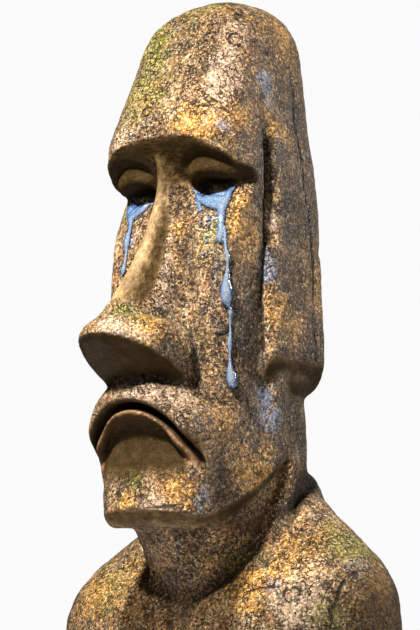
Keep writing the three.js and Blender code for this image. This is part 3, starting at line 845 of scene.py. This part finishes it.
def trickle(side, path):
    """Beads close together along a path over the face: (middle of each, its radius)."""
    path = np.array(path, float)
    span = np.concatenate([[0], np.cumsum(np.hypot(*np.diff(path[:, :2], axis=0).T))])
    at = np.linspace(0, span[-1], max(3, int(span[-1] / BEAD_SPACING)))
    x, z, radius = (curve(at, *zip(span, path[:, n])) for n in range(3))
    beads = np.stack([side * x, on_face(side * x, z), z], 1)
    slope = gradient(stone_form, beads, 2.0)
    outward = slope / np.linalg.norm(slope, axis=1)[:, None]
    return beads + outward * (BEAD_LIFT * radius)[:, None], radius


def drops_tree():
    """Round drops thrown off along a trickle and lying on the stone."""
    tree = bpy.data.node_groups.new("drops_along_trickle", "GeometryNodeTree")
    for label, kind, value in (
        ("Geometry", "Geometry", None), ("Stone", "Object", None), ("Material", "Material", None),
        ("Spacing", "Float", 0.01), ("Drop Radius", "Float", 0.004), ("Spread", "Float", 0.02),
        ("Seed", "Int", 5),
    ):
        socket = tree.interface.new_socket(label, in_out="INPUT", socket_type="NodeSocket" + kind)
        if value is not None:
            socket.default_value = value
    tree.interface.new_socket("Geometry", in_out="OUTPUT", socket_type="NodeSocketGeometry")

    def node(kind, **inputs):
        made = tree.nodes.new(kind)
        for label, value in inputs.items():
            put(tree, value, made.inputs[label.replace("_", " ")])
        return made

    given = node("NodeGroupInput").outputs
    line = node("GeometryNodeMeshToCurve", Mesh=given["Geometry"])
    points = node("GeometryNodeResampleCurve", Curve=line.outputs[0])
    points.mode = "LENGTH"
    put(tree, given["Spacing"], points.inputs["Length"])

    reach = node("ShaderNodeCombineXYZ", X=given["Spread"], Z=given["Spread"]).outputs[0]
    thrown = node("FunctionNodeRandomValue", Seed=given["Seed"])
    thrown.data_type = "FLOAT_VECTOR"
    put(tree, vector_node(tree, "MULTIPLY", reach, (-1.0, -1.0, -1.0)), thrown.inputs[0])
    put(tree, reach, thrown.inputs[1])
    spread = node("GeometryNodeSetPosition", Geometry=points.outputs[0], Offset=thrown.outputs[0])

    surface = node("GeometryNodeProximity")
    surface.target_element = "FACES"
    put(tree, node("GeometryNodeObjectInfo", Object=given["Stone"]).outputs["Geometry"], surface.inputs[0])
    half_sunk = math_node(tree, "MULTIPLY", given["Drop Radius"], -0.5)
    lift = node("ShaderNodeCombineXYZ", Y=half_sunk).outputs[0]
    laid = node(
        "GeometryNodeSetPosition",
        Geometry=spread.outputs[0], Position=surface.outputs["Position"], Offset=lift,
    )

    drop = node("GeometryNodeMeshIcoSphere", Radius=given["Drop Radius"], Subdivisions=2)
    size = node("FunctionNodeRandomValue", Seed=math_node(tree, "ADD", given["Seed"], 1.0))
    put(tree, SMALLEST_DROP, size.inputs[2])
    put(tree, 1.0, size.inputs[3])
    placed = node("GeometryNodeInstanceOnPoints", Points=laid.outputs[0], Instance=drop.outputs[0])
    put(tree, size.outputs[1], placed.inputs["Scale"])
    real = node("GeometryNodeRealizeInstances", Geometry=placed.outputs[0])
    dressed = node("GeometryNodeSetMaterial", Geometry=real.outputs[0], Material=given["Material"])
    put(tree, dressed.outputs[0], node("NodeGroupOutput").inputs[0])
    return tree


def splash_line(shift):
    """Points on the stone along the splash, in metres."""
    x, z = (np.array(values, float) for values in zip(*SPLASH))
    return np.stack([x, on_face(x, z), z], 1) / PER_METRE + [0, shift, 0]


def throw_drops(tears, line, stone, material, sizes):
    """Adds the drops along one line over the face to a piece of tears."""
    mesh = bpy.data.meshes.new("line")
    mesh.from_pydata([tuple(point) for point in line], [(i, i + 1) for i in range(len(line) - 1)], [])
    carrier = bpy.data.objects.new("line", mesh)
    bpy.context.scene.collection.objects.link(carrier)
    modifier = carrier.modifiers.new("drops", "NODES")
    modifier.node_group = drops_tree()
    settings = {"Stone": stone, "Material": material, **sizes}
    for socket in modifier.node_group.interface.items_tree:
        if socket.in_out == "INPUT" and socket.name in settings:
            modifier[socket.identifier] = settings[socket.name]
    ready = carrier.evaluated_get(bpy.context.evaluated_depsgraph_get())
    drops = bpy.data.meshes.new_from_object(ready)
    carrier.modifiers.remove(modifier)
    bpy.data.objects.remove(carrier)
    for polygon in drops.polygons:
        polygon.use_smooth = True
    both = bmesh.new()
    both.from_mesh(tears.data)
    both.from_mesh(drops)
    both.to_mesh(tears.data)
    both.free()


def tears_form(trickles):
    """The form of trickles that run together, kept clear of the stone."""
    def form(x, y, z):
        points = np.stack([x, y, z], 1)
        total = np.full(len(points), 200.0)
        for beads, radius in trickles:
            for a, b, ra, rb in zip(beads[:-1], beads[1:], radius[:-1], radius[1:]):
                near = np.linalg.norm(points - (a + b) / 2, axis=1) < 60
                if near.any():
                    total[near] = smin(total[near], limb(*points[near].T, a, b, ra, rb), BEAD_JOIN)
        return smax(total, CLEARANCE - stone_form(x, y, z), 2.0)
    return form


def pour_tears(name, side, paths, shift):
    """One cheek's tears; side is 1 on the statue's left and -1 on its right."""
    trickles = [trickle(side, path) for path in paths]
    beads = np.concatenate([b for b, _ in trickles])
    low, high = beads.min(0) - TEAR_MARGIN, beads.max(0) + TEAR_MARGIN
    lines = [steps((a, b, TEAR_GRID)) for a, b in zip(low, high)]
    points, faces = surface_net(tears_form(trickles), *lines, settle=1)
    return build_mesh(name, points / PER_METRE + [0, shift, 0], faces)


# ---------------------------------------------------------------- finishes

# Colours over the grain, from the dark grains to the light ones.
TUFF_TONES = (
    (0.37, (0.024, 0.013, 0.006)), (0.47, (0.085, 0.048, 0.022)), (0.55, (0.19, 0.118, 0.058)),
    (0.65, (0.40, 0.27, 0.15)),
)
DRESSED_TONES = ((0.36, (0.060, 0.036, 0.014)), (0.54, (0.17, 0.11, 0.048)), (0.68, (0.34, 0.235, 0.115)))
BLEACH_AND_LIGHT_TONES = ((0.36, (0.16, 0.10, 0.07)), (0.5, (0.50, 0.35, 0.26)), (0.64, (0.86, 0.72, 0.60)))
SLATE_TONES = ((0.38, (0.05, 0.065, 0.12)), (0.64, (0.34, 0.42, 0.62)))
MOSS_TONES = ((0.38, (0.022, 0.026, 0.004)), (0.50, (0.10, 0.105, 0.012)), (0.64, (0.36, 0.34, 0.05)))
OCHRE_TONES = ((0.38, (0.10, 0.034, 0.004)), (0.50, (0.42, 0.19, 0.020)), (0.64, (0.88, 0.58, 0.18)))
# Each growth or stain, the pale one also laying painted light: its name, the scale and cover of its
# speckle, its strength and its colours.
GROWTHS = (
    ("bleach_and_painted_light", 70.0, 0.20, 0.7, BLEACH_AND_LIGHT_TONES),
    ("slate", 45.0, 0.18, 0.8, SLATE_TONES),
    ("moss", 62.0, 0.16, 0.85, MOSS_TONES),
    ("ochre", 88.0, 0.15, 0.9, OCHRE_TONES),
)
RED_BROWN, GREY_BROWN = (0.24, 0.115, 0.050), (0.12, 0.105, 0.105)
# The tint of the painted shade on the sideways faces, and the red of the lips.
SIDE_SHADE_TINT, LIP_RED = (0.36, 0.30, 0.26), (0.22, 0.105, 0.062)
# Pale grains made into painted glints, and the painted highlight on the rims of pores.
PALE_GRAIN_GLINT, PORE_RIM_HIGHLIGHT = (0.95, 0.80, 0.60), (0.86, 0.68, 0.48)
# Painted shade: near black in pits and cracks, under overhangs and in folds, and deep in hollows.
PIT_AND_CRACK_SHADE, PAINTED_SHADE_DARK, HOLLOW_PAINTED_SHADE = (0.010, 0.007, 0.005), (0.014, 0.008, 0.002), (0.010, 0.006, 0.003)
# The tears, from seen face on to seen edge on.
TEAR_TONES = ((0.05, (0.68, 0.82, 1.0)), (0.30, (0.33, 0.55, 0.96)), (0.75, (0.06, 0.16, 0.55)))
TEAR_CLEARNESS, TEAR_IOR, TEAR_ROUGHNESS = 0.86, 1.4, 0.02
FLOOR_GREY, FLOOR_ROUGHNESS = (0.86, 0.86, 0.87, 1), 0.9
# Scales of the patterns, in repeats a metre.
BODY_SCALE, TINT_SCALE, GRAIN_SCALE, LUMP_SCALE = 13.0, 34.0, 115.0, 60.0
DRESSED_SCALE, RAGGED_SCALE, WANDER_SCALE = 30.0, 36.0, 120.0
CRUST_SCALE, CRUST_BEND_SCALE, CRUST_WEAR_SCALE = 58.0, 48.0, 17.0
SMALL_PORES = {"Scale": 125.0, "Share": 0.55}
LARGE_PORES = {"Scale": 58.0, "Share": 0.10}
# How far the crust's cells are bent, and the depth of the finest relief, in metres.
CRUST_BEND = 0.022
BUMP_DEPTH = 0.016


def mixed(tree, factor, a, b, blend="MIX"):
    node = tree.nodes.new("ShaderNodeMix")
    node.data_type = "RGBA"
    node.blend_type = blend
    node.clamp_factor = True
    put(tree, factor, node.inputs["Factor"])
    for value, socket in ((a, node.inputs[6]), (b, node.inputs[7])):
        put(tree, value if isinstance(value, bpy.types.NodeSocket) else (*value, 1), socket)
    return node.outputs[2]


def laid_over(tree, mask, strength, under, over):
    """One colour over another where the mask is, at that strength."""
    return mixed(tree, math_node(tree, "MULTIPLY", mask, strength), under, over)


def remap(tree, value, low, high, to_low=0.0, to_high=1.0, smooth=True):
    node = tree.nodes.new("ShaderNodeMapRange")
    node.interpolation_type = "SMOOTHSTEP" if smooth else "LINEAR"
    for number, socket in zip((value, low, high, to_low, to_high), node.inputs):
        put(tree, number, socket)
    return node.outputs[0]


def noise_node(tree, vector, scale, detail=3.0, roughness=0.55, warp=0.0):
    node = tree.nodes.new("ShaderNodeTexNoise")
    put(tree, vector, node.inputs["Vector"])
    put(tree, scale, node.inputs["Scale"])
    node.inputs["Detail"].default_value = detail
    node.inputs["Roughness"].default_value = roughness
    node.inputs["Distortion"].default_value = warp
    return node.outputs["Fac"]


def ramp(tree, value, *stops):
    node = tree.nodes.new("ShaderNodeValToRGB")
    put(tree, value, node.inputs["Fac"])
    band = node.color_ramp
    while len(band.elements) < len(stops):
        band.elements.new(0.5)
    for element, (at, colour) in zip(band.elements, stops):
        element.position = at
        element.color = (*colour, 1)
    return node.outputs["Color"]


def attribute(tree, name):
    node = tree.nodes.new("ShaderNodeAttribute")
    node.attribute_name = name
    return node.outputs["Fac"]


def new_group(name, inputs, outputs):
    """An empty shader group; inputs are (name, kind, default) and outputs (name, kind)."""
    tree = bpy.data.node_groups.new(name, "ShaderNodeTree")
    for label, kind, default in inputs:
        socket = tree.interface.new_socket(label, in_out="INPUT", socket_type="NodeSocket" + kind)
        if default is not None:
            socket.default_value = default
    for label, kind in outputs:
        tree.interface.new_socket(label, in_out="OUTPUT", socket_type="NodeSocket" + kind)
    return tree, tree.nodes.new("NodeGroupInput").outputs, tree.nodes.new("NodeGroupOutput").inputs


def use_group(tree, group, **values):
    node = tree.nodes.new("ShaderNodeGroup")
    node.node_tree = group
    for label, value in values.items():
        put(tree, value, node.inputs[label.replace("_", " ")])
    return node.outputs


def pores_group():
    """Small open pores of tuff, each with a bright rim painted as the highlight on its edge."""
    tree, given, out = new_group(
        "pores",
        [("Vector", "Vector", None), ("Scale", "Float", 100.0), ("Share", "Float", 0.5)],
        [("Pore", "Float"), ("Rim", "Float")],
    )
    wobble = noise_node(tree, given["Vector"], math_node(tree, "MULTIPLY", given["Scale"], 1.1), 2.0, 0.5)
    spread = math_node(tree, "DIVIDE", 0.9, given["Scale"])
    evenly = tree.nodes.new("ShaderNodeCombineXYZ")
    for socket in evenly.inputs:
        put(tree, spread, socket)
    at = vector_node(tree, "MULTIPLY_ADD", wobble.node.outputs["Color"], evenly.outputs[0], given["Vector"])
    cells = tree.nodes.new("ShaderNodeTexVoronoi")
    put(tree, at, cells.inputs["Vector"])
    put(tree, given["Scale"], cells.inputs["Scale"])
    split = tree.nodes.new("ShaderNodeSeparateColor")
    put(tree, cells.outputs["Color"], split.inputs[0])
    chosen = math_node(tree, "LESS_THAN", split.outputs[0], given["Share"])
    width = remap(tree, split.outputs[1], 0.0, 1.0, 0.16, 0.42, smooth=False)
    ratio = math_node(tree, "DIVIDE", cells.outputs["Distance"], width)
    put(tree, math_node(tree, "MULTIPLY", remap(tree, ratio, 1.0, 0.62), chosen), out["Pore"])
    ring = math_node(tree, "MULTIPLY", remap(tree, ratio, 0.8, 1.05), remap(tree, ratio, 1.7, 1.1))
    put(tree, math_node(tree, "MULTIPLY", ring, chosen), out["Rim"])
    return tree


def growth_group():
    """Turns a soft patch into the broken speckle of lichen, moss or stain."""
    tree, given, out = new_group(
        "growth",
        [
            ("Vector", "Vector", None), ("Patch", "Float", 0.0), ("Scale", "Float", 60.0),
            ("Cover", "Float", 0.5),
        ],
        [("Mask", "Float")],
    )
    coarse = noise_node(tree, given["Vector"], given["Scale"], 5.0, 0.72)
    fine = noise_node(tree, given["Vector"], math_node(tree, "MULTIPLY", given["Scale"], 4.6), 2.0, 0.6)
    parts = [math_node(tree, "MULTIPLY", lumps, share) for lumps, share in ((coarse, 0.6), (fine, 0.4))]
    grain = math_node(tree, "ADD", *parts)
    level = math_node(tree, "MULTIPLY_ADD", given["Patch"], given["Cover"], grain)
    put(tree, remap(tree, level, 0.60, 0.72), out["Mask"])
    return tree


def crust_seams(tree, at):
    """Painted shade in the seams between the cells of a crust, left out where it is worn away."""
    crust = tree.nodes.new("ShaderNodeTexVoronoi")
    crust.feature = "DISTANCE_TO_EDGE"
    crust.inputs["Scale"].default_value = CRUST_SCALE
    bend = noise_node(tree, at, CRUST_BEND_SCALE, 3.0, 0.6).node.outputs["Color"]
    bent = vector_node(tree, "MULTIPLY_ADD", bend, (CRUST_BEND, CRUST_BEND, CRUST_BEND), at)
    put(tree, bent, crust.inputs["Vector"])
    worn = noise_node(tree, at, CRUST_WEAR_SCALE, 3.0, 0.6)
    seam = remap(tree, crust.outputs["Distance"], 0.085, 0.02)
    return math_node(tree, "MULTIPLY", seam, remap(tree, worn, 0.44, 0.56))


def rough_tuff(tree, at, grain, rest, growth):
    """The colour of the open stone: brown tuff with a bright grain, painted shade on the sides of the head,
    growths and stains, and patches of painted light.
    """
    streaks = vector_node(tree, "MULTIPLY", at, (1.0, 1.0, 0.4))
    colour = ramp(tree, noise_node(tree, streaks, BODY_SCALE, 8.0, 0.70, 0.4), *TUFF_TONES)
    tint = noise_node(tree, streaks, TINT_SCALE, 4.0, 0.6)
    colour = mixed(tree, remap(tree, tint, 0.52, 0.66, 0.0, 0.6), colour, RED_BROWN)
    colour = mixed(tree, remap(tree, tint, 0.46, 0.32, 0.0, 0.6), colour, GREY_BROWN)
    sparkle = remap(tree, grain, 0.40, 0.62, 0.10, 2.1)
    colour = mixed(tree, 1.0, colour, mixed(tree, rest, (1, 1, 1), sparkle), "MULTIPLY")
    # Painted shade over the sideways faces.
    side_shaded = math_node(tree, "MULTIPLY", attribute(tree, "painted_side_shade"), 0.95)
    colour = mixed(tree, side_shaded, colour, SIDE_SHADE_TINT, "MULTIPLY")
    # The pale growth also lays painted light on the upper lip's crest and down the nose's flank.
    for name, scale, cover, strength, tones in GROWTHS:
        patch = attribute(tree, name)
        mask = use_group(tree, growth, Vector=at, Patch=patch, Scale=scale, Cover=cover)["Mask"]
        colour = laid_over(tree, mask, strength, colour, ramp(tree, grain, *tones))
    return colour


def dressed_tuff(tree, at):
    """The colour of the stone that the carver left smooth, redder on the lips."""
    colour = ramp(tree, noise_node(tree, at, DRESSED_SCALE, 8.0, 0.7), *DRESSED_TONES)
    return mixed(tree, attribute(tree, "lips"), colour, mixed(tree, 0.4, colour, LIP_RED))


def tuff_material(pores, growth):
    """Weathered tuff: rough where it is open, smoother where it is dressed, with painted shade under
    overhangs, in folds and in hollows.
    """
    material = bpy.data.materials.new("weathered_tuff")
    material.use_nodes = True
    tree = material.node_tree
    shader = tree.nodes["Principled BSDF"]
    at = tree.nodes.new("ShaderNodeTexCoord").outputs["Object"]
    dressed, painted_shade, hollow = (attribute(tree, name) for name in ("dressed", "painted_shade", "hollow"))
    rest = math_node(tree, "SUBTRACT", 1.0, dressed)
    grain = noise_node(tree, at, GRAIN_SCALE, 4.0, 0.75)

    ragged = math_node(tree, "MULTIPLY_ADD", noise_node(tree, at, RAGGED_SCALE, 4.0, 0.7), 1.2, -0.6)
    smooth_share = remap(tree, math_node(tree, "ADD", dressed, ragged), 0.25, 0.75)
    colour = mixed(tree, smooth_share, rough_tuff(tree, at, grain, rest, growth), dressed_tuff(tree, at))

    small = use_group(tree, pores, Vector=at, **SMALL_PORES)
    large = use_group(tree, pores, Vector=at, **LARGE_PORES)
    holes = math_node(tree, "MAXIMUM", small["Pore"], large["Pore"])
    holes = math_node(tree, "MAXIMUM", holes, crust_seams(tree, at))
    pore = math_node(tree, "MULTIPLY", holes, rest)
    rim = math_node(tree, "MULTIPLY", math_node(tree, "MAXIMUM", small["Rim"], large["Rim"]), rest)
    wander = math_node(tree, "MULTIPLY_ADD", noise_node(tree, at, WANDER_SCALE), 0.006, -0.003)
    crack = remap(tree, math_node(tree, "ADD", attribute(tree, "crack"), wander), 0.0048, 0.0022)
    dark = math_node(tree, "MAXIMUM", pore, math_node(tree, "MULTIPLY", crack, rest))
    speck = math_node(tree, "MULTIPLY", remap(tree, grain, 0.60, 0.68), rest)

    # Pale grains of the stone, brightened as painted glints.
    colour = laid_over(tree, speck, 0.75, colour, PALE_GRAIN_GLINT)
    # Painted highlight on the rims of the pores.
    colour = laid_over(tree, rim, 0.30, colour, PORE_RIM_HIGHLIGHT)
    # Painted shade, near black, in pits, cracks and the crust's seams.
    colour = laid_over(tree, dark, 0.93, colour, PIT_AND_CRACK_SHADE)
    # Painted shade under overhangs, below the lip, at the throat and in folds.
    colour = laid_over(tree, painted_shade, 0.92, colour, PAINTED_SHADE_DARK)
    # Painted shade deep in hollows.
    colour = mixed(tree, remap(tree, hollow, 0.30, 0.85, 0.0, 0.85), colour, HOLLOW_PAINTED_SHADE)
    put(tree, colour, shader.inputs["Base Color"])
    put(tree, remap(tree, dressed, 0.0, 1.0, 0.72, 0.55), shader.inputs["Roughness"])
    put(tree, remap(tree, painted_shade, 0.0, 0.8, 0.24, 0.04), shader.inputs["Specular IOR Level"])

    grains = math_node(tree, "SUBTRACT", grain, math_node(tree, "MULTIPLY", dark, 1.1))
    lumps = math_node(tree, "MULTIPLY", noise_node(tree, at, LUMP_SCALE, 5.0, 0.6), 0.5)
    bump = tree.nodes.new("ShaderNodeBump")
    bump.inputs["Strength"].default_value = 1.0
    bump.inputs["Distance"].default_value = BUMP_DEPTH
    height = math_node(tree, "ADD", math_node(tree, "MULTIPLY", grains, rest), lumps)
    put(tree, height, bump.inputs["Height"])
    put(tree, bump.outputs["Normal"], shader.inputs["Normal"])
    return material


def tear_material():
    """Clear resin, pale blue where it is seen face on and deep blue at its edges."""
    material = bpy.data.materials.new("clear_tear")
    material.use_nodes = True
    tree = material.node_tree
    shader = tree.nodes["Principled BSDF"]
    edge = tree.nodes.new("ShaderNodeLayerWeight")
    edge.inputs["Blend"].default_value = 0.45
    put(tree, ramp(tree, edge.outputs["Facing"], *TEAR_TONES), shader.inputs["Base Color"])
    shader.inputs["Roughness"].default_value = TEAR_ROUGHNESS
    shader.inputs["IOR"].default_value = TEAR_IOR
    shader.inputs["Transmission Weight"].default_value = TEAR_CLEARNESS
    return material


def floor_material():
    material = bpy.data.materials.new("pale_floor")
    material.use_nodes = True
    shader = material.node_tree.nodes["Principled BSDF"]
    shader.inputs["Base Color"].default_value = FLOOR_GREY
    shader.inputs["Roughness"].default_value = FLOOR_ROUGHNESS
    return material


# ---------------------------------------------------------------- put the statue together

FLOOR_REACH = 2.0 * HEIGHT
FLOOR_SIDES = 96


def lay_floor():
    turns = [math.tau * i / FLOOR_SIDES for i in range(FLOOR_SIDES)]
    edge = [(FLOOR_REACH * math.cos(turn), FLOOR_REACH * math.sin(turn), 0) for turn in turns]
    floor = bpy.data.objects.new("floor", bpy.data.meshes.new("floor"))
    floor.data.from_pydata(edge, [], [range(FLOOR_SIDES)])
    floor.data.materials.append(floor_material())
    bpy.context.scene.collection.objects.link(floor)
    return floor


tuff = tuff_material(pores_group(), growth_group())
clear = tear_material()

stone, shift = carve_stone()
left = pour_tears("tears_on_left_cheek", 1, LEFT_TEARS, shift)
right = pour_tears("tears_on_right_cheek", -1, RIGHT_TEARS, shift)
for piece, finish in ((stone, tuff), (left, clear), (right, clear)):
    piece.data.materials.append(finish)
throw_drops(left, splash_line(shift), stone, clear, DROPS)
for piece, node, slot in (
    (stone, "stone_bust", "stone"), (left, "tears_left", "tears"), (right, "tears_right", "tears"),
):
    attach(piece, "root")
    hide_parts(node)

floor = lay_floor()
